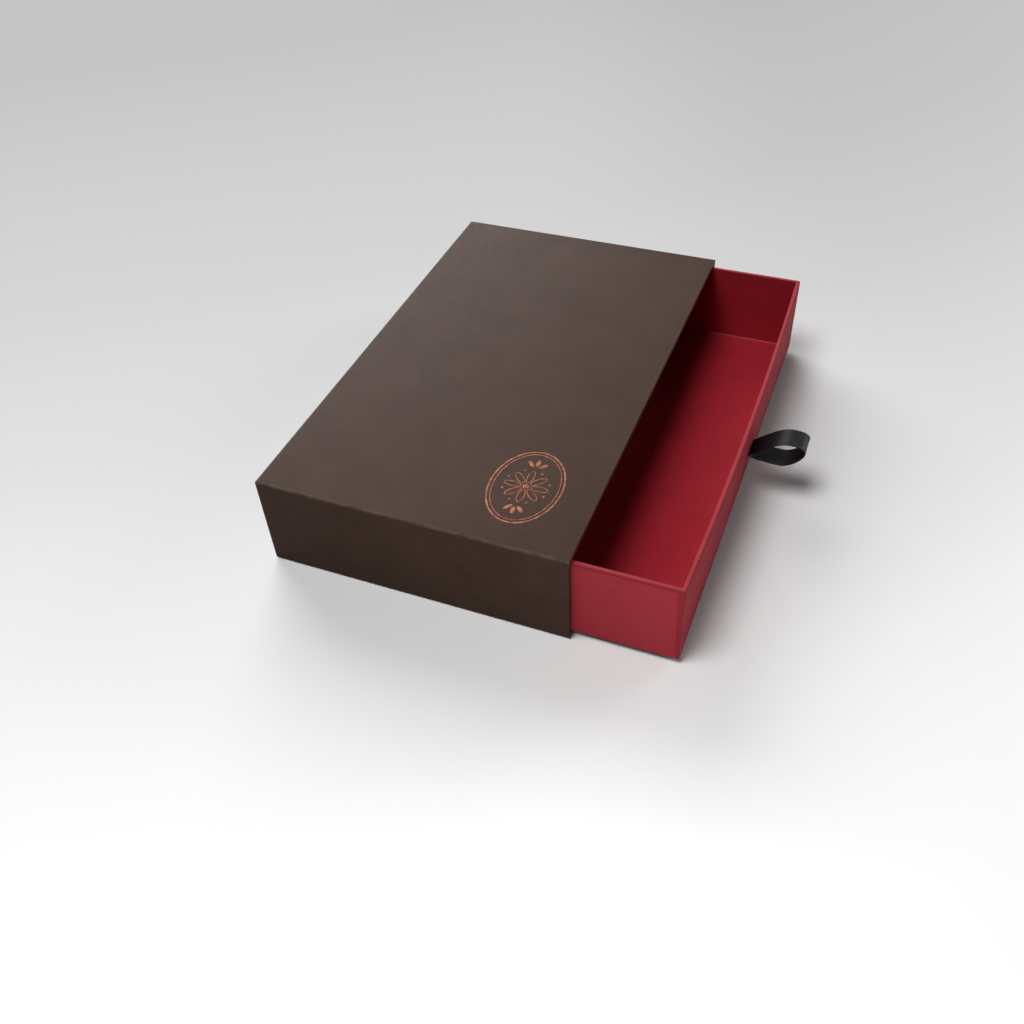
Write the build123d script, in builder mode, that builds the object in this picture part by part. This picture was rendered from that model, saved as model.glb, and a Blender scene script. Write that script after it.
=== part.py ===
from build123d import *
import os

# A rigid gift box: a greyboard sleeve open along one long side, and a paper-covered tray that slides out of it
# on a ribbon loop. Millimetres. X runs along the mouth, the tray is pulled towards -Y and Z is up. The origin
# is the centre of the sleeve's underside. The tray is drawn where it is shown, partly pulled out.

# Sleeve
sleeve_width = 250.0  # along the mouth, over the paper
sleeve_depth = 152.0  # from the mouth to the back, over the paper
sleeve_height = 50.0  # over the paper
sleeve_board = 2.0  # greyboard
sleeve_paper = 0.25  # covering paper
sleeve_lining = 0.25  # lining paper
sleeve_fold = 0.9  # outside radius of the folded paper edges
mouth_turn_in = 15.0  # covering paper turned into the mouth
base_lap = 16.0  # covering paper lapped under the base
base_margin = 1.5  # bare edge round the sheet under the base
tape = 0.1  # gummed paper tape
tape_leg = 12.0  # tape on each side of a joint
tape_end_gap = 1.0  # between the ends of two tapes

# Tray, and how it fits the sleeve
pulled_out = 49.0  # how far the tray's front stands ahead of the mouth
side_gap = 0.4
floor_gap = 0.2
top_gap = 0.6
back_gap = 1.0  # behind the closed tray
tray_board = 1.5
tray_paper = 0.25
tray_liner = 0.25
tray_fold = 0.9
rim_turn_in = 14.0

# Ribbon
ribbon_width = 12.7
ribbon = 0.35  # one ply of satin
ribbon_rise = 22.0  # slot above the tray's underside
tail_length = 14.0  # each tail, glued up or down behind the front board
patch = 0.1
patch_width = 26.0
patch_margin = 3.0  # patch beyond the ends of the tails
slot_side_gap = 0.5
slot_gap = 0.25
root_gap = 0.05  # between the tray's front and the root of the loop
loop_reach = 28.0  # front of the loop ahead of its root
loop_nose = 7.4  # height of its front above the slot
loop_crest = 10.7  # height of its top above the slot
loop_crest_out = 19.5  # how far out the top is
loop_sag = 1.9  # how far its lower ply hangs below the slot
loop_sag_out = 14.5  # how far out that is measured
root_rise = 0.3  # slope of the upper ply where it leaves the slot
root_fall = 0.15  # slope of the lower ply there
nose_pull = 0.6  # how straight the plies run into the nose, 1 being the roundest

# Foil emblem on the top
foil = 0.05
emblem_width = 48.0
emblem_depth = 34.0
emblem_from_left = 37.6  # centre of the emblem from the sleeve's left end
emblem_from_mouth = 33.5
emblem_line = 0.8
emblem_fine_line = 0.4
emblem_line_gap = 1.1
bud_radius = 1.5
petals = 8
petal_length = 8.4
petal_width = 3.4
petal_gap = 0.7  # between the bud and the petals
dot_radius = 0.5
leaf_length = 4.6
leaf_width = 1.9
leaf_spread = 45.0  # degrees between leaves
sprig_gap = 1.2  # between the petals and the middle of a sprig
leaf_gap = 1.8  # between a sprig's middle and its leaves

# Places worked out from the sizes above
half_width = sleeve_width / 2
mouth_y = -sleeve_depth / 2
back_y = sleeve_depth / 2
base_z = sleeve_paper  # underside of the bottom board
top_z = sleeve_height - sleeve_paper  # upper face of the top board
panel_x = half_width - sleeve_paper  # outer face of the side boards
panel_front_y = mouth_y + sleeve_paper
panel_back_y = back_y - sleeve_paper
tube_back_y = panel_back_y - sleeve_board  # where the back board meets the other four
lap_z = base_z + sleeve_paper  # upper face of the lapped paper
lap_x = panel_x - base_lap
lap_back_y = panel_back_y - base_lap
hollow_x = panel_x - sleeve_board
hollow_low_z = base_z + sleeve_board
hollow_high_z = top_z - sleeve_board
turn_in_y = mouth_y + mouth_turn_in
mouth_x = hollow_x - sleeve_paper
base_sheet_x = half_width - base_margin
back_tape_x = panel_x - tape_leg - tape_end_gap
mouth_sheet = max(sleeve_paper, sleeve_lining)  # the thicker of the papers that line the hollow

tray_half_width = hollow_x - mouth_sheet - side_gap
tray_front_y = mouth_y - pulled_out
tray_back_y = tube_back_y - sleeve_lining - back_gap - pulled_out
tray_low_z = hollow_low_z + mouth_sheet + floor_gap
rim_z = hollow_high_z - mouth_sheet - top_gap
wall_x = tray_half_width - tray_paper  # outer faces of the tray's boards
wall_front_y = tray_front_y + tray_paper
wall_back_y = tray_back_y - tray_paper
wall_low_z = tray_low_z + tray_paper
wall_high_z = rim_z - tray_paper
cavity_x = wall_x - tray_board
cavity_front_y = wall_front_y + tray_board
cavity_back_y = wall_back_y - tray_board
cavity_low_z = wall_low_z + tray_board
turn_in_z = rim_z - rim_turn_in  # lower edge of the turned-in paper

slot_z = tray_low_z + ribbon_rise
slot_x = ribbon_width / 2 + slot_side_gap
slot_half_height = ribbon + slot_gap
tail_back_y = cavity_front_y - patch
tail_front_y = tail_back_y - ribbon
patch_half_height = tail_length + patch_margin
root_y = tray_front_y - root_gap - ribbon  # the line about which the loop swings

emblem_x = -half_width + emblem_from_left
emblem_y = mouth_y + emblem_from_mouth
petal_centre = bud_radius + petal_gap + petal_length / 2
petal_reach = petal_centre + petal_length / 2
sprig_centre = petal_reach + sprig_gap


def block(x_low, x_high, y_low, y_high, z_low, z_high, mode=Mode.ADD):
    """A square-edged block between two corners, added to or cut from the part being built."""
    with BuildSketch(Plane.XY.offset(z_low)) as outline:
        with Locations(((x_low + x_high) / 2, (y_low + y_high) / 2)):
            Rectangle(x_high - x_low, y_high - y_low)
    extrude(outline.sketch, amount=z_high - z_low, mode=mode)


def corner_strips(plane, centre, width, height, radius, length):
    """Four thin angle strips round the corners of a rounded rectangle, run along the plane's normal."""
    with BuildSketch(plane) as outline:
        with Locations(centre):
            RectangleRounded(width, height, radius)
            RectangleRounded(width - 2 * tape, height - 2 * tape, radius - tape, mode=Mode.SUBTRACT)
            Rectangle(width - 2 * tape_leg, height, mode=Mode.SUBTRACT)
            Rectangle(width, height - 2 * tape_leg, mode=Mode.SUBTRACT)
    extrude(outline.sketch, amount=length)


# The outside of the glued-up boards, with its edges rounded as the covering paper needs them.
with BuildPart() as sleeve_form:
    block(-panel_x, panel_x, panel_front_y, panel_back_y, lap_z, top_z)
    long_edges = sleeve_form.edges().filter_by(Axis.Y)
    back_edges = sleeve_form.faces().sort_by(Axis.Y)[-1].edges()
    fillet(long_edges + back_edges, radius=sleeve_fold - sleeve_paper)

with BuildPart() as tray_form:
    block(-wall_x, wall_x, wall_front_y, wall_back_y, wall_low_z, wall_high_z)
    upright_edges = tray_form.edges().filter_by(Axis.Z)
    under_edges = tray_form.faces().sort_by(Axis.Z)[0].edges()
    fillet(upright_edges + under_edges, radius=tray_fold - tray_paper)

# Gummed tapes over the joints of the boards, pressed in flush.
with BuildPart() as sleeve_corner_tapes:
    corner_strips(
        Plane.XZ.offset(-panel_front_y),
        (0, (lap_z + top_z) / 2),
        2 * panel_x,
        top_z - lap_z,
        sleeve_fold - sleeve_paper,
        -(panel_back_y - tape_leg - tape_end_gap - panel_front_y),
    )

with BuildPart() as sleeve_back_tapes:
    # Along the upper and lower back edges.
    corner_strips(
        Plane.YZ.offset(-back_tape_x),
        ((panel_front_y + panel_back_y) / 2, (lap_z + top_z) / 2),
        panel_back_y - panel_front_y,
        top_z - lap_z,
        sleeve_fold - sleeve_paper,
        2 * back_tape_x,
    )
    # Along the upright back edges.
    corner_strips(
        Plane.XY.offset(lap_z + tape_leg + tape_end_gap),
        (0, (panel_front_y + panel_back_y) / 2),
        2 * panel_x,
        panel_back_y - panel_front_y,
        sleeve_fold - sleeve_paper,
        top_z - lap_z - 2 * (tape_leg + tape_end_gap),
    )
    block(-half_width, half_width, mouth_y, panel_back_y - tape_leg, 0, sleeve_height, mode=Mode.SUBTRACT)

with BuildPart() as tray_corner_tapes:
    corner_strips(
        Plane.XY.offset(cavity_low_z),
        (0, (wall_front_y + wall_back_y) / 2),
        2 * wall_x,
        wall_back_y - wall_front_y,
        tray_fold - tray_paper,
        wall_high_z - cavity_low_z,
    )

# Sleeve: five greyboard panels.
with BuildPart() as sleeve_top_board:
    block(-panel_x, panel_x, panel_front_y, tube_back_y, hollow_high_z, top_z)
    add(sleeve_form.part, mode=Mode.INTERSECT)
    add(sleeve_corner_tapes.part, mode=Mode.SUBTRACT)
    add(sleeve_back_tapes.part, mode=Mode.SUBTRACT)

with BuildPart() as sleeve_bottom_board:
    block(-panel_x, panel_x, panel_front_y, tube_back_y, lap_z, hollow_low_z)
    add(sleeve_form.part, mode=Mode.INTERSECT)
    add(sleeve_corner_tapes.part, mode=Mode.SUBTRACT)
    add(sleeve_back_tapes.part, mode=Mode.SUBTRACT)
    # The lapped covering paper is pressed into the board round this raised middle.
    block(-lap_x, lap_x, panel_front_y, lap_back_y, base_z, lap_z)

with BuildPart() as sleeve_left_board:
    block(-panel_x, -hollow_x, panel_front_y, tube_back_y, hollow_low_z, hollow_high_z)
    add(sleeve_corner_tapes.part, mode=Mode.SUBTRACT)
    add(sleeve_back_tapes.part, mode=Mode.SUBTRACT)

with BuildPart() as sleeve_right_board:
    block(hollow_x, panel_x, panel_front_y, tube_back_y, hollow_low_z, hollow_high_z)
    add(sleeve_corner_tapes.part, mode=Mode.SUBTRACT)
    add(sleeve_back_tapes.part, mode=Mode.SUBTRACT)

with BuildPart() as sleeve_back_board:
    block(-panel_x, panel_x, tube_back_y, panel_back_y, lap_z, top_z)
    add(sleeve_form.part, mode=Mode.INTERSECT)
    add(sleeve_back_tapes.part, mode=Mode.SUBTRACT)

# Sleeve: covering paper over the top, sides and back, turned in at the mouth and lapped under the base.
with BuildPart() as sleeve_core:
    add(sleeve_form.part)
    block(-hollow_x, hollow_x, panel_front_y, turn_in_y, hollow_low_z, hollow_high_z, mode=Mode.SUBTRACT)

with BuildPart() as sleeve_wrap_paper:
    block(-half_width, half_width, mouth_y, back_y, base_z, sleeve_height)
    outer_long_edges = sleeve_wrap_paper.edges().filter_by(Axis.Y)
    outer_back_edges = sleeve_wrap_paper.faces().sort_by(Axis.Y)[-1].edges()
    fillet(outer_long_edges + outer_back_edges, radius=sleeve_fold)
    add(sleeve_core.part, mode=Mode.SUBTRACT)
    block(-lap_x, lap_x, mouth_y, lap_back_y, base_z, lap_z, mode=Mode.SUBTRACT)
    block(-panel_x, panel_x, mouth_y, panel_front_y, base_z, hollow_low_z, mode=Mode.SUBTRACT)
    block(
        -mouth_x, mouth_x, mouth_y, turn_in_y, hollow_low_z, hollow_high_z - sleeve_paper, mode=Mode.SUBTRACT
    )

# Sleeve: the sheet under the base, folded up over the mouth edge and turned in.
with BuildPart() as sleeve_base_paper:
    block(-base_sheet_x, base_sheet_x, mouth_y, back_y - base_margin, 0, base_z)
    block(-panel_x, panel_x, mouth_y, panel_front_y, base_z, hollow_low_z)
    block(-mouth_x, mouth_x, mouth_y, turn_in_y, hollow_low_z, hollow_low_z + sleeve_paper)

with BuildPart() as sleeve_lining_paper:
    block(-hollow_x, hollow_x, turn_in_y, tube_back_y, hollow_low_z, hollow_high_z)
    block(
        -(hollow_x - sleeve_lining),
        hollow_x - sleeve_lining,
        turn_in_y,
        tube_back_y - sleeve_lining,
        hollow_low_z + sleeve_lining,
        hollow_high_z - sleeve_lining,
        mode=Mode.SUBTRACT,
    )

# Foil stamped on the top: an oval double border round a rosette and two leaf sprigs.
with BuildPart() as foil_emblem:
    with BuildSketch(Plane.XY.offset(sleeve_height)):
        with Locations((emblem_x, emblem_y)):
            for inset, line in ((0, emblem_line), (emblem_line + emblem_line_gap, emblem_fine_line)):
                Ellipse(emblem_width / 2 - inset, emblem_depth / 2 - inset)
                Ellipse(
                    emblem_width / 2 - inset - line, emblem_depth / 2 - inset - line, mode=Mode.SUBTRACT
                )
            Circle(bud_radius)
            with PolarLocations(petal_centre, petals):
                Ellipse(petal_length / 2, petal_width / 2)
                Ellipse(
                    petal_length / 2 - emblem_fine_line,
                    petal_width / 2 - emblem_fine_line,
                    mode=Mode.SUBTRACT,
                )
            with PolarLocations(petal_reach, petals, start_angle=180 / petals):
                Circle(dot_radius)
            with PolarLocations(sprig_centre, 2):
                for turn in (-leaf_spread, 0, leaf_spread):
                    with PolarLocations(leaf_gap + leaf_length / 2, 1, start_angle=turn):
                        Ellipse(leaf_length / 2, leaf_width / 2)
    extrude(amount=foil)

# Ribbon: the two tails pass through the slot and are glued up and down behind the front board.
with BuildPart() as ribbon_tails:
    block(-ribbon_width / 2, ribbon_width / 2, tray_front_y, tail_front_y, slot_z - ribbon, slot_z + ribbon)
    block(
        -ribbon_width / 2,
        ribbon_width / 2,
        tail_front_y,
        tail_back_y,
        slot_z - tail_length,
        slot_z + tail_length,
    )

with BuildPart() as ribbon_patch:
    block(
        -patch_width / 2,
        patch_width / 2,
        tail_back_y,
        cavity_front_y,
        slot_z - patch_half_height,
        slot_z + patch_half_height,
    )

# Ribbon: the loop, whose two plies leave the slot together. Its section is drawn in YZ, outwards being -Y.
with BuildPart() as ribbon_loop:
    root = Vector(root_y, slot_z)
    nose = Vector(root_y - loop_reach + ribbon / 2, slot_z + loop_nose)
    crest = Vector(root_y - loop_crest_out, slot_z + loop_crest)
    sag = Vector(root_y - loop_sag_out, slot_z - loop_sag)
    with BuildSketch(Plane.YZ.offset(-ribbon_width / 2)):
        with BuildLine():
            Spline(root, crest, nose, tangents=[(-1, root_rise), (0, -1)], tangent_scalars=(1, nose_pull))
        trace(line_width=ribbon)
        with BuildLine():
            Spline(nose, sag, root, tangents=[(0, -1), (1, root_fall)], tangent_scalars=(nose_pull, 1))
        trace(line_width=ribbon)
        with Locations((root_y, slot_z)):
            Circle(ribbon)
    extrude(amount=ribbon_width)

# Tray: five greyboard panels.
with BuildPart() as tray_bottom_board:
    block(-wall_x, wall_x, wall_front_y, wall_back_y, wall_low_z, cavity_low_z)
    add(tray_form.part, mode=Mode.INTERSECT)

with BuildPart() as tray_front_board:
    block(-wall_x, wall_x, wall_front_y, cavity_front_y, cavity_low_z, wall_high_z)
    add(tray_form.part, mode=Mode.INTERSECT)
    add(tray_corner_tapes.part, mode=Mode.SUBTRACT)
    block(
        -slot_x,
        slot_x,
        wall_front_y,
        tail_front_y,
        slot_z - slot_half_height,
        slot_z + slot_half_height,
        mode=Mode.SUBTRACT,
    )
    # The glued tails and their patch are pressed into the board.
    add(ribbon_tails.part, mode=Mode.SUBTRACT)
    add(ribbon_patch.part, mode=Mode.SUBTRACT)

with BuildPart() as tray_back_board:
    block(-wall_x, wall_x, cavity_back_y, wall_back_y, cavity_low_z, wall_high_z)
    add(tray_form.part, mode=Mode.INTERSECT)
    add(tray_corner_tapes.part, mode=Mode.SUBTRACT)

with BuildPart() as tray_left_board:
    block(-wall_x, -cavity_x, cavity_front_y, cavity_back_y, cavity_low_z, wall_high_z)
    add(tray_corner_tapes.part, mode=Mode.SUBTRACT)

with BuildPart() as tray_right_board:
    block(cavity_x, wall_x, cavity_front_y, cavity_back_y, cavity_low_z, wall_high_z)
    add(tray_corner_tapes.part, mode=Mode.SUBTRACT)

# Tray: covering paper over the outside, folded over the rims and turned in.
with BuildPart() as tray_core:
    add(tray_form.part)
    block(-cavity_x, cavity_x, cavity_front_y, cavity_back_y, turn_in_z, wall_high_z, mode=Mode.SUBTRACT)

with BuildPart() as tray_wrap_paper:
    block(-tray_half_width, tray_half_width, tray_front_y, tray_back_y, tray_low_z, rim_z)
    outer_upright_edges = tray_wrap_paper.edges().filter_by(Axis.Z)
    outer_under_edges = tray_wrap_paper.faces().sort_by(Axis.Z)[0].edges()
    fillet(outer_upright_edges + outer_under_edges, radius=tray_fold)
    add(tray_core.part, mode=Mode.SUBTRACT)
    block(
        -(cavity_x - tray_paper),
        cavity_x - tray_paper,
        cavity_front_y + tray_paper,
        cavity_back_y - tray_paper,
        turn_in_z,
        rim_z,
        mode=Mode.SUBTRACT,
    )
    block(
        -slot_x,
        slot_x,
        tray_front_y,
        wall_front_y,
        slot_z - slot_half_height,
        slot_z + slot_half_height,
        mode=Mode.SUBTRACT,
    )

# Tray: red paper on the inside.
with BuildPart() as tray_wall_liner:
    block(-cavity_x, cavity_x, cavity_front_y, cavity_back_y, cavity_low_z, turn_in_z)
    block(
        -(cavity_x - tray_liner),
        cavity_x - tray_liner,
        cavity_front_y + tray_liner,
        cavity_back_y - tray_liner,
        cavity_low_z,
        turn_in_z,
        mode=Mode.SUBTRACT,
    )

with BuildPart() as tray_floor_liner:
    block(
        -(cavity_x - tray_liner),
        cavity_x - tray_liner,
        cavity_front_y + tray_liner,
        cavity_back_y - tray_liner,
        cavity_low_z,
        cavity_low_z + tray_liner,
    )

sleeve_top_board.part.label = "sleeve_top_board"
sleeve_bottom_board.part.label = "sleeve_bottom_board"
sleeve_left_board.part.label = "sleeve_left_board"
sleeve_right_board.part.label = "sleeve_right_board"
sleeve_back_board.part.label = "sleeve_back_board"
sleeve_corner_tapes.part.label = "sleeve_corner_tapes"
sleeve_back_tapes.part.label = "sleeve_back_tapes"
sleeve_wrap_paper.part.label = "sleeve_wrap_paper"
sleeve_base_paper.part.label = "sleeve_base_paper"
sleeve_lining_paper.part.label = "sleeve_lining_paper"
foil_emblem.part.label = "foil_emblem"
tray_bottom_board.part.label = "tray_bottom_board"
tray_front_board.part.label = "tray_front_board"
tray_back_board.part.label = "tray_back_board"
tray_left_board.part.label = "tray_left_board"
tray_right_board.part.label = "tray_right_board"
tray_corner_tapes.part.label = "tray_corner_tapes"
tray_wrap_paper.part.label = "tray_wrap_paper"
tray_wall_liner.part.label = "tray_wall_liner"
tray_floor_liner.part.label = "tray_floor_liner"
ribbon_tails.part.label = "ribbon_tails"
ribbon_patch.part.label = "ribbon_patch"
ribbon_loop.part.label = "ribbon_loop"

os.makedirs("parts", exist_ok=True)
for piece in (
    sleeve_top_board,
    sleeve_bottom_board,
    sleeve_left_board,
    sleeve_right_board,
    sleeve_back_board,
    sleeve_corner_tapes,
    sleeve_back_tapes,
    sleeve_wrap_paper,
    sleeve_base_paper,
    sleeve_lining_paper,
    foil_emblem,
    tray_bottom_board,
    tray_front_board,
    tray_back_board,
    tray_left_board,
    tray_right_board,
    tray_corner_tapes,
    tray_wrap_paper,
    tray_wall_liner,
    tray_floor_liner,
    ribbon_tails,
    ribbon_patch,
    ribbon_loop,
):
    export_step(piece.part, f"parts/{piece.part.label}.step")
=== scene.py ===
import math

import bmesh
import bpy
from mathutils import Matrix, Vector


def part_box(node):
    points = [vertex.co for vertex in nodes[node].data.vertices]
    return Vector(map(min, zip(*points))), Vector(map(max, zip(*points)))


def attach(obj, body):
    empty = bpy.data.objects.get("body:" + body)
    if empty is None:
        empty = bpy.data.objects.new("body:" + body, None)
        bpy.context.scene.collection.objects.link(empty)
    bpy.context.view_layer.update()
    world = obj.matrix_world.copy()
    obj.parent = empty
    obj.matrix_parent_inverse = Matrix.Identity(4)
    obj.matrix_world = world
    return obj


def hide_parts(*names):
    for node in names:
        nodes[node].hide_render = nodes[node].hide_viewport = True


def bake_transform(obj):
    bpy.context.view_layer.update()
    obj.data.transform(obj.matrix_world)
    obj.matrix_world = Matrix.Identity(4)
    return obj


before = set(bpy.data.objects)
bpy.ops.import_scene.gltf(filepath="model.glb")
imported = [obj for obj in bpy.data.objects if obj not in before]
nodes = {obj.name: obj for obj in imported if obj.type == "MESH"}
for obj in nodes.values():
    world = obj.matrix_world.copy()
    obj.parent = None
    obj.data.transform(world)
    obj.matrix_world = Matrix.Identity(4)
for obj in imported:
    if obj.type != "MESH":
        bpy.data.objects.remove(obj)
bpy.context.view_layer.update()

# Greyboard panels: five in the sleeve and five in the tray. They are recycled board, 2 mm thick in the
# sleeve and 1.5 mm in the tray, die-cut and butted edge to edge. The covering papers hide them all.
def node_adder(tree):
    """A function that adds a node to that tree. It links an input given as a socket, and sets any other."""

    def add(kind, inputs=None, **settings):
        made = tree.nodes.new(kind)
        for key, value in settings.items():
            setattr(made, key, value)
        for key, value in (inputs or {}).items():
            if isinstance(value, bpy.types.NodeSocket):
                tree.links.new(value, made.inputs[key])
            else:
                made.inputs[key].default_value = value
        return made

    return add


def finish(name):
    """A new material, a function that adds a node to it, and one that makes a shader its surface."""
    material = bpy.data.materials.new(name)
    material.use_nodes = True
    tree = material.node_tree
    tree.nodes.clear()
    surface = tree.nodes.new("ShaderNodeOutputMaterial").inputs["Surface"]
    return material, node_adder(tree), lambda shader: tree.links.new(shader.outputs[0], surface)


def vector_maths(add, first, operation, second=(0, 0, 0)):
    """What the operation makes of two places: a number for a distance, a length or a dot product."""
    made = add("ShaderNodeVectorMath", {0: first, 1: second}, operation=operation)
    gives_number = operation in ("DISTANCE", "LENGTH", "DOT_PRODUCT")
    return made.outputs["Value" if gives_number else "Vector"]


def grain(add, place, size, stretch=(1, 1, 1), detail=3.0, roughness=0.55):
    """Noise whose clumps are about that size in metres, longer where the stretch is less than 1."""
    made = add("ShaderNodeTexNoise", {
        "Vector": vector_maths(add, place, "MULTIPLY", [share / size for share in stretch]),
        "Scale": 1.0,
        "Detail": detail,
        "Roughness": roughness,
    })
    return made.outputs["Fac"]


def between(add, value, low, high, to_low=0.0, to_high=1.0, kind="SMOOTHSTEP"):
    """The value's way from low to high, eased or even, as a number from to_low to to_high."""
    made = add("ShaderNodeMapRange", {
        "Value": value,
        "From Min": low,
        "From Max": high,
        "To Min": to_low,
        "To Max": to_high,
    }, interpolation_type=kind)
    return made.outputs["Result"]


def blend_of(add, share, first, second):
    """A colour between two colours, each a tuple or a socket."""
    made = add("ShaderNodeMix", {0: share, 6: first, 7: second}, data_type="RGBA")
    return made.outputs[2]


def raised(add, height, strength, depth):
    """The slope of a surface whose height differs by that depth in metres."""
    made = add("ShaderNodeBump", {"Height": height, "Strength": strength, "Distance": depth})
    return made.outputs[0]


def cover_with(material, *pieces):
    """That material alone on each of those CAD pieces."""
    for piece in pieces:
        nodes[piece].data.materials.clear()
        nodes[piece].data.materials.append(material)


pulp_deep = (0.31, 0.29, 0.26, 1)
pulp_pale = (0.44, 0.42, 0.38, 1)
ply_line = (0.24, 0.22, 0.20, 1)
dark_speck = (0.12, 0.11, 0.12, 1)
greyboard, add, shows = finish("greyboard")
place = add("ShaderNodeTexCoord").outputs["Object"]
flocks = grain(add, place, size=0.0009, detail=5.0)
specks = between(add, grain(add, place, size=0.0006, stretch=(1, 0.4, 1), detail=1.0), 0.66, 0.72)
plies = between(add, grain(add, place, size=0.0004, stretch=(0.05, 0.05, 1)), 0.3, 0.7, 0.0, 0.25)
pulp = blend_of(add, flocks, pulp_deep, pulp_pale)
pulp = blend_of(add, plies, pulp, ply_line)
pulp = blend_of(add, specks, pulp, dark_speck)
shows(add("ShaderNodeBsdfPrincipled", {
    "Base Color": pulp,
    "Roughness": 0.92,
    "Normal": raised(add, flocks, strength=0.6, depth=0.00008),
}))
cover_with(
    greyboard,
    "sleeve_top_board",
    "sleeve_bottom_board",
    "sleeve_left_board",
    "sleeve_right_board",
    "sleeve_back_board",
    "tray_bottom_board",
    "tray_front_board",
    "tray_back_board",
    "tray_left_board",
    "tray_right_board",
)

# Joining tapes: strips of gummed kraft paper that a taping machine presses round each corner of the boards
# before the box is covered.
kraft_deep = (0.33, 0.20, 0.11, 1)
kraft_pale = (0.52, 0.35, 0.20, 1)
kraft_streak = (0.60, 0.43, 0.27, 1)
gummed_tape, add, shows = finish("gummed_tape")
place = add("ShaderNodeTexCoord").outputs["Object"]
fibres = grain(add, place, size=0.0005, stretch=(1, 0.3, 0.5), detail=4.0)
streaks = between(add, grain(add, place, size=0.004, stretch=(0.15, 1, 1)), 0.35, 0.75, 0.0, 0.3)
kraft = blend_of(add, streaks, blend_of(add, fibres, kraft_deep, kraft_pale), kraft_streak)
shows(add("ShaderNodeBsdfPrincipled", {
    "Base Color": kraft,
    "Roughness": 0.62,
    "Normal": raised(add, fibres, strength=0.4, depth=0.00004),
}))
cover_with(gummed_tape, "sleeve_corner_tapes", "sleeve_back_tapes", "tray_corner_tapes")

# Sleeve covering: dyed-through uncoated brown paper, 0.25 mm, glued over the board. One sheet goes over the
# top, the ends and the back and is turned into the mouth, and a second one covers the underside.
folds_middle = (0, -0.062, 0.025)
folds_half = (0.125, 0.138, 0.025)  # of the sleeve, but drawn out 12 cm past its mouth
fold_highlight_reach = 0.0014  # how far in from a fold it is paler, rubbed and with a painted highlight


def maths(add, first, operation, second=0.0):
    """What the operation makes of two numbers."""
    return add("ShaderNodeMath", {0: first, 1: second}, operation=operation).outputs[0]


def covering_paper(name, deep, pale, rubbed_and_lit, wear_and_highlight, mottle, shine, gloss, shade_and_bands=None, stored_place=None):
    """Dyed paper with a fibrous grain. It is paler where the first mask says, for real rubbing and for
    painted highlights and sheen, and half as bright where the second mask says, for painted shade and darker
    bands.
    """
    material, add, shows = finish(name)
    if stored_place:
        place = add("ShaderNodeAttribute", attribute_name=stored_place).outputs["Vector"]
    else:
        place = add("ShaderNodeTexCoord").outputs["Object"]
    clouds = grain(add, place, size=0.022, detail=2.0)
    flocks = grain(add, place, size=0.0021, detail=4.0, roughness=0.6)
    fibres = grain(add, place, size=0.00045, stretch=(1, 0.22, 1))
    tone = maths(add, maths(add, clouds, "ADD", flocks), "ADD", fibres)
    middling = 1.5  # the mean of three grains that are added up
    ink = blend_of(add, between(add, tone, middling - mottle, middling + mottle, kind="LINEAR"), deep, pale)
    # Paler where the first mask says: rubbing, and painted highlights and sheen.
    ink = blend_of(add, wear_and_highlight(add, place), ink, rubbed_and_lit)
    # Half as bright where the second mask says: painted shade and darker bands.
    if shade_and_bands:
        half_as_bright = tuple(0.5 * part for part in deep[:3]) + (1,)
        ink = blend_of(add, shade_and_bands(add, place), ink, half_as_bright)
    shows(add("ShaderNodeBsdfPrincipled", {
        "Base Color": ink,
        "Roughness": between(add, flocks, 0.3, 0.7, shine - 0.05, shine + 0.05),
        "Specular IOR Level": gloss,
        "Normal": raised(add, maths(add, flocks, "ADD", fibres), strength=0.5, depth=0.00005),
    }))
    return material


def in_patches(add, place, share, least):
    """That share, but down to the least part of it in patches 6 mm wide."""
    patchy = between(add, grain(add, place, size=0.006), 0.35, 0.6, least, 1.0)
    return maths(add, share, "MULTIPLY", patchy)


def rubbed_and_lit_folds(add, place):
    """Paler on the sleeve's long folds and round its back, but not at its mouth, where the fold lies in
    shade: partly rubbed paper, partly a painted highlight where the rounded folds catch the light.
    """
    off = vector_maths(add, vector_maths(add, place, "SUBTRACT", folds_middle), "ABSOLUTE")
    inward = vector_maths(add, folds_half, "SUBTRACT", off)
    squared = vector_maths(add, inward, "DOT_PRODUCT", inward)
    x, y, z = add("ShaderNodeSeparateXYZ", {0: inward}).outputs
    farthest = maths(add, maths(add, x, "MAXIMUM", y), "MAXIMUM", z)
    # The two smaller distances, squared and added, are the square of the way to the nearest fold.
    to_fold = maths(add, squared, "SUBTRACT", maths(add, farthest, "MULTIPLY", farthest))
    return in_patches(add, place, between(add, to_fold, 0.0, fold_highlight_reach**2, 0.42, 0.0), 0.35)


brown_paper = covering_paper(
    "brown_covering_paper",
    deep=(0.041, 0.0210, 0.0140, 1),
    pale=(0.065, 0.0345, 0.0245, 1),
    # paler on the folds: rubbed paper and a painted highlight
    rubbed_and_lit=(0.17, 0.12, 0.095, 1),
    wear_and_highlight=rubbed_and_lit_folds,
    mottle=0.42,
    shine=0.55,
    gloss=0.08,
)
cover_with(brown_paper, "sleeve_wrap_paper", "sleeve_base_paper")

# Sleeve lining: a thin dark paper that is glued inside, from the edge of the turned-in covering to the back
# panel. It is scuffed a little in patches.
lining_paper = covering_paper(
    "dark_lining_paper",
    deep=(0.020, 0.014, 0.012, 1),
    pale=(0.036, 0.026, 0.022, 1),
    rubbed_and_lit=(0.05, 0.04, 0.035, 1),
    wear_and_highlight=lambda add, place: between(add, grain(add, place, size=0.01), 0.6, 0.7, 0.0, 0.3),
    mottle=0.5,
    shine=0.72,
    gloss=0.2,
)
cover_with(lining_paper, "sleeve_lining_paper")

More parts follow.
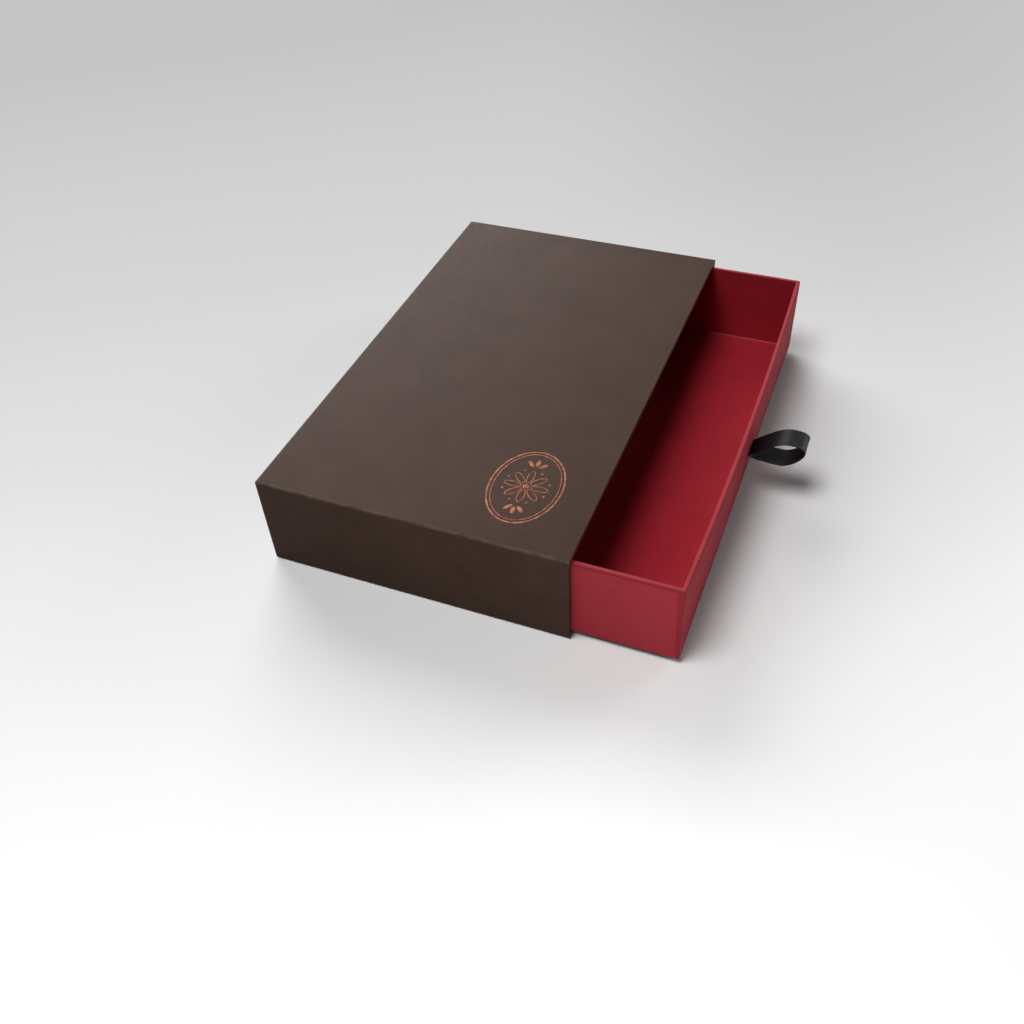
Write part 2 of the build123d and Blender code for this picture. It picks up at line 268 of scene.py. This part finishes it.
# Ornament on the top: copper-coloured foil that a heated brass die stamps into the paper. It takes the
# paper's grain, so it is a little rough and patchy.
copper_deep = (0.150, 0.052, 0.032, 1)
copper_bright = (0.270, 0.108, 0.068, 1)
copper_foil, add, shows = finish("copper_foil")
place = add("ShaderNodeTexCoord").outputs["Object"]
tooth = grain(add, place, size=0.0003)
patches = between(add, grain(add, place, size=0.0024, detail=2.0), 0.36, 0.64)
shows(add("ShaderNodeBsdfPrincipled", {
    "Base Color": blend_of(add, patches, copper_deep, copper_bright),
    "Metallic": 1.0,
    "Roughness": between(add, tooth, 0.3, 0.7, 0.46, 0.60),
    "Normal": raised(add, tooth, strength=0.5, depth=0.00003),
}))
cover_with(copper_foil, "foil_emblem")

# Tray floor: a sheet of the tray's red paper that is glued over the bottom board. It is cut with a knife, and
# a painted highlight runs along its edge, where the edge catches the light.
deep_red = (0.295, 0.0125, 0.0220, 1)
pale_red = (0.390, 0.0200, 0.0345, 1)
edge_highlight_from, edge_highlight_to = 0.0003, 0.0022  # how far in from the sheet's edge the painted highlight is full, and where it ends


def in_from_the_edges(add, place, low, high):
    """How far in from the ends of that box a place lies, and how far in from its long sides."""
    middle = [(low[axis] + high[axis]) / 2 for axis in (0, 1)] + [0]
    half = [(high[axis] - low[axis]) / 2 for axis in (0, 1)] + [0]
    off = vector_maths(add, vector_maths(add, place, "SUBTRACT", middle), "ABSOLUTE")
    parts = add("ShaderNodeSeparateXYZ", {0: vector_maths(add, half, "SUBTRACT", off)}).outputs
    return parts["X"], parts["Y"]


def painted_highlight_on_cut_edge(add, place):
    """A painted highlight at the very edge of the sheet, in patches."""
    low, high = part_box("tray_floor_liner")
    from_ends, from_sides = in_from_the_edges(add, place, low, high)
    to_edge = maths(add, from_ends, "MINIMUM", from_sides)
    return in_patches(add, place, between(add, to_edge, edge_highlight_from, edge_highlight_to, 0.85, 0.0), 0.5)


floor_paper = covering_paper(
    "red_floor_paper",
    deep=deep_red,
    pale=pale_red,
    # paler at the cut edge: a painted highlight
    rubbed_and_lit=(0.47, 0.080, 0.10, 1),
    wear_and_highlight=painted_highlight_on_cut_edge,
    mottle=0.6,
    shine=0.70,
    gloss=0.12,
)
cover_with(floor_paper, "tray_floor_liner")

# Tray covering: the same red paper. One sheet wraps the outside and is folded over the rims, and a band
# lines the walls below its turned-in edge. The pull has drawn the middle of the front 2 mm outwards, so the
# front board, the papers over it and the patch behind the ribbon are copies of their solids that lean out.
front_lean = 0.0022
bowed_half = 0.1218  # from the middle of the front to where it is straight again
tray_underside, lean_from, rim_top = 0.0027, 0.0050, 0.0469  # it leans from the tray's floor up
lean_easing = 2.5
lean_starts, lean_ramp = -0.1215, 0.0008  # behind the front, and how far on it leans in full
upright_fold = 0.0009  # radius of the sheet round the tray's upright corners
rim_fold, inner_fold = 0.0007, 0.0003  # radii over the outer and inner edge of a rim
rim_width = 0.0020
end_band_low, end_band_high = 0.0020, 0.0032  # how wide the darker band on the ends is, next to the upright corners, at the underside and at the rim
grid_step = 0.005  # between the cuts that let a straight wall bend
edge_clear = 0.001  # from the last cut to the edge of a wall
fold_angle = math.radians(35)  # the least that shows as a crease
hair = 1e-6  # two places as near as this are one


def held(value):
    """The value, kept between 0 and 1."""
    return min(max(value, 0), 1)


def leans_out(x, z):
    """How far the front stands out there, in metres."""
    middle = max(1 - (x / bowed_half) ** 2, 0)
    up = 1 - (1 - held((z - lean_from) / (rim_top - lean_from))) ** lean_easing
    return front_lean * middle * up


def in_from_the_outside(add, place):
    """How far in from the tray's ends a stored place lies, how far in from its long sides, and its height."""
    low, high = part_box("tray_wrap_paper")
    from_ends, from_sides = in_from_the_edges(add, place, low, high)
    return from_ends, from_sides, add("ShaderNodeSeparateXYZ", {0: place}).outputs["Z"]


def rubbing_sheen_and_rim_highlight(add, place):
    """Paler all over the outside, a painted sheen with a little rubbing, and paler still on the rims, a
    painted highlight with some rubbing.
    """
    from_ends, from_sides, level = in_from_the_outside(add, place)
    # painted sheen on the outer faces, with a little rubbing
    outside = between(add, maths(add, from_ends, "MINIMUM", from_sides), 0.0002, 0.0006, 0.32, 0.0)
    # painted highlight on the rim tops, with some rubbing
    rim = between(add, level, rim_top - 0.0009, rim_top - 0.0002, 0.0, 0.54)
    return in_patches(add, place, maths(add, outside, "MAXIMUM", rim), 0.75)


def shade_under_rims_and_end_bands(add, place):
    """Darker lines: painted shade just under the outer edge of each rim, and a darker band on the ends next
    to the upright corners, wider towards the rim.
    """
    from_ends, from_sides, level = in_from_the_outside(add, place)
    outer = between(add, maths(add, from_ends, "MINIMUM", from_sides), 0.0003, 0.0006, 1.0, 0.0)
    # painted shade just under the outer edge of the rim
    under_rim = between(add, level, rim_top - 0.0018, rim_top - 0.0012, 0.0, 0.46)
    shade_under_rim = maths(add, outer, "MULTIPLY", under_rim)
    # a darker band on the ends next to the upright corners, wider towards the rim
    end_band_width = between(add, level, tray_underside, rim_top, end_band_low, end_band_high, kind="LINEAR")
    end_band = between(add, maths(add, from_sides, "SUBTRACT", end_band_width), -0.0002, 0.0002, 0.42, 0.0)
    on_an_end = between(add, from_ends, 0.0001, 0.0004, 1.0, 0.0)
    return maths(add, shade_under_rim, "MAXIMUM", maths(add, end_band, "MULTIPLY", on_an_end))


wrapping_paper = covering_paper(
    "red_covering_paper",
    deep=deep_red,
    pale=pale_red,
    # paler colour: rubbing, painted sheen on the outside and a painted highlight on the rims
    rubbed_and_lit=(0.34, 0.058, 0.070, 1),
    wear_and_highlight=rubbing_sheen_and_rim_highlight,
    mottle=0.6,
    shine=0.70,
    gloss=0.12,
    # half as bright: painted shade under the rims, and the darker end bands
    shade_and_bands=shade_under_rims_and_end_bands,
    stored_place="before_leaning",
)


def cut_across(shape, axis, level):
    """Split the faces of the shape where a plane square to that axis meets them."""
    everything = shape.verts[:] + shape.edges[:] + shape.faces[:]
    across = Vector((axis == 0, axis == 1, axis == 2))
    bmesh.ops.bisect_plane(shape, geom=everything, plane_co=across * level, plane_no=across)


def round_the_rims(shape, low, high):
    """The outer and inner edge of each rim, folded to a radius in three steps instead of square."""
    middle = [(low[axis] + high[axis]) / 2 for axis in (0, 1)]
    half = [(high[axis] - low[axis]) / 2 for axis in (0, 1)]
    outer_steps = [rim_fold * step / 3 for step in (1, 2, 3)]
    inner_steps = [inner_fold * step / 3 for step in (0, 1, 2, 3)]
    for depth in outer_steps + inner_steps[1:]:
        cut_across(shape, 2, high[2] - depth)
    for axis in (0, 1):
        for depth in outer_steps + [rim_width - step for step in inner_steps]:
            for side in (-1, 1):
                cut_across(shape, axis, middle[axis] + side * (half[axis] - depth))
    for corner in shape.verts:
        down = high[2] - corner.co.z
        off = Vector((corner.co.x - middle[0], corner.co.y - middle[1]))
        sign = Vector((math.copysign(1, off.x), math.copysign(1, off.y)))
        for radius, fold, edge in ((rim_fold, upright_fold, 0.0), (inner_fold, 0.0, rim_width)):
            # Which way is out of the rim there, round its upright corners too, and how deep in it lies.
            past = Vector((abs(off.x) - half[0] + edge + fold, abs(off.y) - half[1] + edge + fold))
            if past.x > 0 and past.y > 0:
                outward, reach = past.normalized(), past.length
            else:
                outward = Vector((1, 0)) if past.x > past.y else Vector((0, 1))
                reach = max(past)
            depth = fold - reach if edge == 0 else reach
            if edge:
                outward = -outward
            if -hair <= depth < radius and down < radius:
                # From the square edge on to the arc, straight towards the arc's centre.
                out, up = radius - depth, radius - down
                pull = max(out, up) / math.hypot(out, up)
                corner.co.x += sign.x * outward.x * out * (pull - 1)
                corner.co.y += sign.y * outward.y * out * (pull - 1)
                corner.co.z += up * (pull - 1)
                break


def leaning(node, name, material, rounded=False):
    """A copy of a CAD node that leans out with the front. It stores where each of its places was before."""
    shape = bmesh.new()
    shape.from_mesh(nodes[node].data)
    bmesh.ops.remove_doubles(shape, verts=shape.verts, dist=hair)
    low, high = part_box(node)
    if rounded:
        round_the_rims(shape, low, high)
    for axis in (0, 2):
        level = low[axis] + grid_step
        while level < high[axis] - edge_clear:
            cut_across(shape, axis, level)
            level += grid_step
    mesh = bpy.data.meshes.new(name)
    shape.to_mesh(mesh)
    shape.free()
    before = mesh.attributes.new("before_leaning", "FLOAT_VECTOR", "POINT")
    for corner, stored in zip(mesh.vertices, before.data):
        stored.vector = corner.co
        x, y, z = corner.co
        corner.co.y -= leans_out(x, z) * held((lean_starts - y) / lean_ramp)
    mesh.shade_smooth()
    mesh.set_sharp_from_angle(angle=fold_angle)
    mesh.materials.append(material)
    piece = bpy.data.objects.new(name, mesh)
    bpy.context.scene.collection.objects.link(piece)
    piece.modifiers.new("flat_faces", "WEIGHTED_NORMAL").keep_sharp = True
    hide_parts(node)
    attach(piece, "drawer")
    return piece


leaning("tray_front_board", "front_board", greyboard)
leaning("tray_wrap_paper", "red_wrap", wrapping_paper, rounded=True)
leaning("tray_wall_liner", "red_wall_band", wrapping_paper)
leaning("ribbon_patch", "tail_patch", wrapping_paper)

# Pull ribbon: half-inch black satin, 96 mm long. It is folded into a loop, both ends go through a slot in the
# tray's front, and they are glued up and down behind its board.
slot_place = Vector((0, -0.1254, 0.0247))  # the root of the loop, where it hinges
satin_width = 0.0127
satin_ply = 0.00035
satin_cupping = 0.00012
weave_step = 0.0005
loop_from, tail_ramp = -0.1284, 0.0034  # it leans with the board behind here only, and in full that far on
# Points along the ribbon, in millimetres out from the root and up from it, with the direction it runs there
# and how far it holds that direction before and after.
satin_route = (
    (-1.875, 14.0, 0, -1, 3.0, 3.0),
    (-1.875, 0.9, 0, -1, 3.0, 0.35),
    (-1.3, 0.2, 1, 0, 0.35, 1.2),
    (1.6, 0.5, 1, 0.38, 1.2, 4.0),
    (20.2, 11.2, 1, 0, 7.5, 4.2),
    (27.7, 7.8, 0, -1, 2.6, 3.4),
    (16.5, -2.1, -1, 0, 4.6, 6.6),
    (1.6, -0.4, -1, 0.28, 3.0, 1.2),
    (-1.3, -0.2, -1, 0, 1.2, 0.35),
    (-1.875, -0.9, 0, -1, 0.35, 3.0),
    (-1.875, -14.0, 0, -1, 3.0, 3.0),
)
route = bpy.data.curves.new("satin_route", "CURVE")
route.dimensions = "3D"
route.resolution_u = 24
line = route.splines.new("BEZIER")
line.bezier_points.add(len(satin_route) - 1)
for knot, (out, up, run_out, run_up, before, after) in zip(line.bezier_points, satin_route):
    heading = Vector((0, -run_out, run_up)).normalized() / 1000
    knot.co = slot_place + Vector((0, -out, up)) / 1000
    knot.handle_left_type = knot.handle_right_type = "FREE"
    knot.handle_left = knot.co - heading * before
    knot.handle_right = knot.co + heading * after
satin_curve = bpy.data.objects.new("satin_route", route)
bpy.context.scene.collection.objects.link(satin_curve)


def woven_strip(material):
    """Nodes that weave a flat ribbon along a curve: a rounded strip with a firmer selvedge at each edge."""
    group = bpy.data.node_groups.new("woven_strip", "GeometryNodeTree")
    face = group.interface
    face.new_socket("Geometry", in_out="INPUT", socket_type="NodeSocketGeometry")
    sizes = {
        title: face.new_socket(title, in_out="INPUT", socket_type="NodeSocketFloat").identifier
        for title in ("Width", "Ply", "Cupping", "Step")
    }
    face.new_socket("Geometry", in_out="OUTPUT", socket_type="NodeSocketGeometry")
    add = node_adder(group)
    given = add("NodeGroupInput").outputs

    def stored(shape, name, value, kind="FLOAT", domain="POINT"):
        inputs = {"Geometry": shape, "Name": name, "Value": value}
        made = add("GeometryNodeStoreNamedAttribute", inputs, data_type=kind, domain=domain)
        return made.outputs[0]

    # Along: even steps, with the strip's face square to the plane of the loop.
    run = {"Curve": given["Geometry"], "Length": given["Step"]}
    steps = add("GeometryNodeResampleCurve", run, mode="LENGTH")
    sideways = {"Curve": steps.outputs[0], "Normal": (1.0, 0.0, 0.0)}
    flat = add("GeometryNodeSetCurveNormal", sideways, mode="FREE")
    marked = stored(flat.outputs[0], "along", add("GeometryNodeSplineParameter").outputs["Length"])

    # Across: a long thin section with rounded ends, slightly cupped, and thicker at the selvedges.
    selvedge_from, selvedge_whole = 0.86, 0.93  # of the way out from the middle
    body_ply = 0.86  # of the thickness of a selvedge
    end_radius = 0.45  # of that thickness
    outline = {"Width": given["Width"], "Height": given["Ply"]}
    section = add("GeometryNodeCurvePrimitiveQuadrilateral", outline)
    rounding = maths(add, given["Ply"], "MULTIPLY", end_radius)
    round_ends = {"Curve": section.outputs[0], "Count": 3, "Radius": rounding}
    section = add("GeometryNodeFilletCurve", round_ends, mode="POLY")
    section = add("GeometryNodeResampleCurve", {"Curve": section.outputs[0], "Count": 96}, mode="COUNT")
    part = add("ShaderNodeSeparateXYZ", {0: add("GeometryNodeInputPosition").outputs[0]}).outputs
    side = maths(add, maths(add, part["X"], "DIVIDE", given["Width"]), "MULTIPLY", 2.0)
    bow = maths(add, maths(add, side, "MULTIPLY", side), "MULTIPLY", given["Cupping"])
    off_middle = maths(add, side, "ABSOLUTE")
    thickness = between(add, off_middle, selvedge_from, selvedge_whole, body_ply, 1.0, kind="LINEAR")
    cupped = maths(add, maths(add, part["Y"], "MULTIPLY", thickness), "ADD", bow)
    shaped = add("ShaderNodeCombineXYZ", {"X": part["X"], "Y": cupped}).outputs[0]
    section = add("GeometryNodeSetPosition", {"Geometry": section.outputs[0], "Position": shaped})
    across = stored(section.outputs[0], "across", part["X"])

    # The strip itself, with its width and length as its UV map.
    sweep = {"Curve": marked, "Profile Curve": across, "Fill Caps": True}
    strip = add("GeometryNodeCurveToMesh", sweep)
    read = [add("GeometryNodeInputNamedAttribute", {"Name": name}, data_type="FLOAT").outputs[0]
            for name in ("across", "along")]
    weave = add("ShaderNodeCombineXYZ", {"X": read[0], "Y": read[1]}).outputs[0]
    woven = stored(strip.outputs[0], "UVMap", weave, kind="FLOAT2", domain="CORNER")
    smooth = add("GeometryNodeSetShadeSmooth", {"Geometry": woven})
    whole = add("GeometryNodeRealizeInstances", {0: smooth.outputs[0]})
    dyed = add("GeometryNodeSetMaterial", {"Geometry": whole.outputs[0], "Material": material})
    add("NodeGroupOutput", {0: dyed.outputs[0]})
    return group, sizes


thread_deep = (0.0032, 0.0030, 0.0030, 1)
thread_bright = (0.0090, 0.0084, 0.0080, 1)
black_satin, add, shows = finish("black_satin")
weave = add("ShaderNodeUVMap", uv_map="UVMap").outputs[0]
warp = grain(add, weave, size=0.00016, stretch=(1, 0.06, 1), detail=2.0)
floats = grain(add, weave, size=0.0011, stretch=(1, 0.25, 1), detail=2.0)
shows(add("ShaderNodeBsdfPrincipled", {
    "Base Color": blend_of(add, between(add, warp, 0.35, 0.65), thread_deep, thread_bright),
    "Roughness": between(add, floats, 0.3, 0.7, 0.50, 0.62),
    "Specular IOR Level": 0.20,
    "Anisotropic": 0.5,
    "Sheen Weight": 0.03,
    "Sheen Roughness": 0.35,
    "Tangent": add("ShaderNodeTangent", direction_type="UV_MAP", uv_map="UVMap").outputs[0],
    "Normal": raised(add, maths(add, warp, "ADD", floats), strength=0.5, depth=0.00005),
}))
strip_nodes, sizes = woven_strip(black_satin)
weaver = satin_curve.modifiers.new("woven_strip", "NODES")
weaver.node_group = strip_nodes
weaver[sizes["Width"]] = satin_width
weaver[sizes["Ply"]] = satin_ply
weaver[sizes["Cupping"]] = satin_cupping
weaver[sizes["Step"]] = weave_step
drawn = satin_curve.evaluated_get(bpy.context.evaluated_depsgraph_get())
satin_mesh = bpy.data.meshes.new_from_object(drawn, preserve_all_data_layers=True)
bpy.data.objects.remove(satin_curve)
for spot in satin_mesh.vertices:  # the tails lean with the board, and the loop doesn't
    spot.co.y -= leans_out(spot.co.x, spot.co.z) * held((spot.co.y - loop_from) / tail_ramp)
pull_ribbon = bpy.data.objects.new("pull_ribbon", satin_mesh)
bpy.context.scene.collection.objects.link(pull_ribbon)
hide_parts("ribbon_loop", "ribbon_tails")
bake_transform(pull_ribbon)

# Floor: a large pale sheet of background paper, with the soft shadow of the box on it. It is greyer towards
# the lamp behind, where more light falls, and to the right, so that it fades evenly away from the camera.
# Beyond a metre it goes over into the background.
floor_reach = 6.0
floor_level = -2e-5  # just under the box
lamp_foot = (1.31, 1.16, 0)  # the floor under the lamp behind
floor_tones = (  # metres from there, tone
    (0.90, 0.373),
    (1.10, 0.412),
    (1.38, 0.516),
    (1.55, 0.578),
    (1.70, 0.675),
    (1.85, 0.840),
    (1.95, 0.95),
    (2.05, 1.0),
)
tones_from, tones_to = 0.90, 2.10
rightwards = (0.371, -0.928, 0)  # on the floor, as the camera sees it
greyest_at = 0.26  # metres to the right
greyer_by = 0.115
even_from, even_to = 1.84, 2.02  # metres from the lamp's foot, where right and left grow alike
horizon_from, horizon_to = 0.87, 1.45  # metres from the box
horizon_glow = (0.57, 0.57, 0.575, 1)
cornerwards = (-0.9, -0.43, 0)  # on the floor, past the near corner of the box
bounce_from, bounce_to = 0.13, 0.20  # metres that way
dull_bounce = (0.08, 0.08, 0.08, 1)
bright_bounce = (0.72, 0.72, 0.72, 1)


def to_the_eye(add):
    """1 for a ray from the camera, straight or by way of a mirror or glass, and 0 for any other."""
    ray = add("ShaderNodeLightPath").outputs
    mirrored = maths(add, ray["Is Camera Ray"], "MAXIMUM", ray["Is Glossy Ray"])
    return maths(add, mirrored, "MAXIMUM", ray["Is Transmission Ray"])


signs = ((-1, -1), (1, -1), (1, 1), (-1, 1))
floor_corners = [(x * floor_reach, y * floor_reach, floor_level) for x, y in signs]
floor_mesh = bpy.data.meshes.new("floor")
floor_mesh.from_pydata(floor_corners, [], [(0, 1, 2, 3)])
floor = bpy.data.objects.new("floor", floor_mesh)
bpy.context.scene.collection.objects.link(floor)
backdrop, add, shows = finish("backdrop_paper")
place = add("ShaderNodeTexCoord").outputs["Object"]
away = vector_maths(add, place, "DISTANCE", lamp_foot)
fade = add("ShaderNodeValToRGB", {0: between(add, away, tones_from, tones_to, kind="LINEAR")})
ramp = fade.color_ramp
while len(ramp.elements) < len(floor_tones):
    ramp.elements.new(0.5)
for element, (metres, tone) in zip(ramp.elements, floor_tones):
    element.position = (metres - tones_from) / (tones_to - tones_from)
    element.color = (tone, tone, tone, 1)
to_the_right = vector_maths(add, place, "DOT_PRODUCT", rightwards)
greyer = between(add, to_the_right, 0.0, greyest_at, 0.0, greyer_by)
greyer = maths(add, greyer, "MULTIPLY", between(add, away, even_from, even_to, 1.0, 0.0))
toned = blend_of(add, greyer, fade.outputs[0], (0, 0, 0, 1))
paper_side = add("ShaderNodeBsdfDiffuse", {"Color": toned})
horizon = add("ShaderNodeEmission", {"Color": horizon_glow, "Strength": 1.0})
from_box = vector_maths(add, place, "LENGTH")
paper_side = add("ShaderNodeMixShader", {
    0: between(add, from_box, horizon_from, horizon_to),
    1: paper_side.outputs[0],
    2: horizon.outputs[0],
})
# What the floor throws back at the box: little from round it, and more from beyond its near end.
to_the_corner = vector_maths(add, place, "DOT_PRODUCT", cornerwards)
bounced = blend_of(add, between(add, to_the_corner, bounce_from, bounce_to), dull_bounce, bright_bounce)
bounce_side = add("ShaderNodeBsdfDiffuse", {"Color": bounced})
shows(add("ShaderNodeMixShader", {0: to_the_eye(add), 1: bounce_side.outputs[0], 2: paper_side.outputs[0]}))
floor_mesh.materials.append(backdrop)

# Light: a large soft lamp almost overhead, a broad one behind for the sheen on the top, a weak one low at
# the front right, and a small one just above the floor by the near end.
lit_place = Vector((-0.03, -0.06, 0.03))


def soft_lamp(name, towards, distance, size, power):
    """A round lamp that way from the box and facing it. Distance and size are in metres, power in watts."""
    lamp = bpy.data.lights.new(name, "AREA")
    lamp.shape = "DISK"
    lamp.size = size
    lamp.energy = power
    rig = bpy.data.objects.new(name, lamp)
    direction = Vector(towards).normalized()
    rig.location = lit_place + direction * distance
    rig.rotation_euler = direction.to_track_quat("Z", "Y").to_euler()
    rig.visible_camera = False
    bpy.context.scene.collection.objects.link(rig)


soft_lamp("overhead", (-0.35, 0.22, 1.0), distance=1.6, size=0.75, power=17.4)
soft_lamp("behind", (0.72, 0.66, 0.45), distance=2.0, size=1.8, power=43.0)
soft_lamp("front", (1.0, -0.78, 0.32), distance=1.6, size=0.8, power=8.6)
soft_lamp("near_end", (-0.315, -0.12, 0.0), distance=0.337, size=0.06, power=0.165)

# Studio air: a pale glow all round, which the camera and whatever shines see. Very little of it falls on
# the box.
pale_glow = (0.78, 0.78, 0.79, 1)
glow_on_box, glow_to_eye = 0.02, 0.75
world = bpy.data.worlds.new("studio")
bpy.context.scene.world = world
world.use_nodes = True
world.node_tree.nodes.clear()
add = node_adder(world.node_tree)
glow = add("ShaderNodeBackground", {
    "Color": pale_glow,
    "Strength": between(add, to_the_eye(add), 0.0, 1.0, glow_on_box, glow_to_eye, kind="LINEAR"),
})
add("ShaderNodeOutputWorld", {"Surface": glow.outputs[0]})

# Camera: where the photograph was taken from. Its place and directions come from a fit to the corners of the
# sleeve and the tray.
eye = Vector((-0.398620, -0.175785, 0.363571))
ahead = Vector((0.653371, 0.295730, -0.696886))
right = Vector((0.370527, -0.927668, -0.046274))
down = Vector((-0.660164, -0.227981, -0.715688))
camera = bpy.data.cameras.new("camera")
camera.sensor_width = 36.0
camera.lens = 36.4015
camera.clip_start = 0.01
camera.clip_end = 50.0
viewpoint = bpy.data.objects.new("camera", camera)
turn = Matrix((right, -down, -ahead)).transposed()
viewpoint.matrix_world = Matrix.Translation(eye) @ turn.to_4x4()
bpy.context.scene.collection.objects.link(viewpoint)
bpy.context.scene.camera = viewpoint
bpy.context.scene.view_settings.view_transform = "Standard"
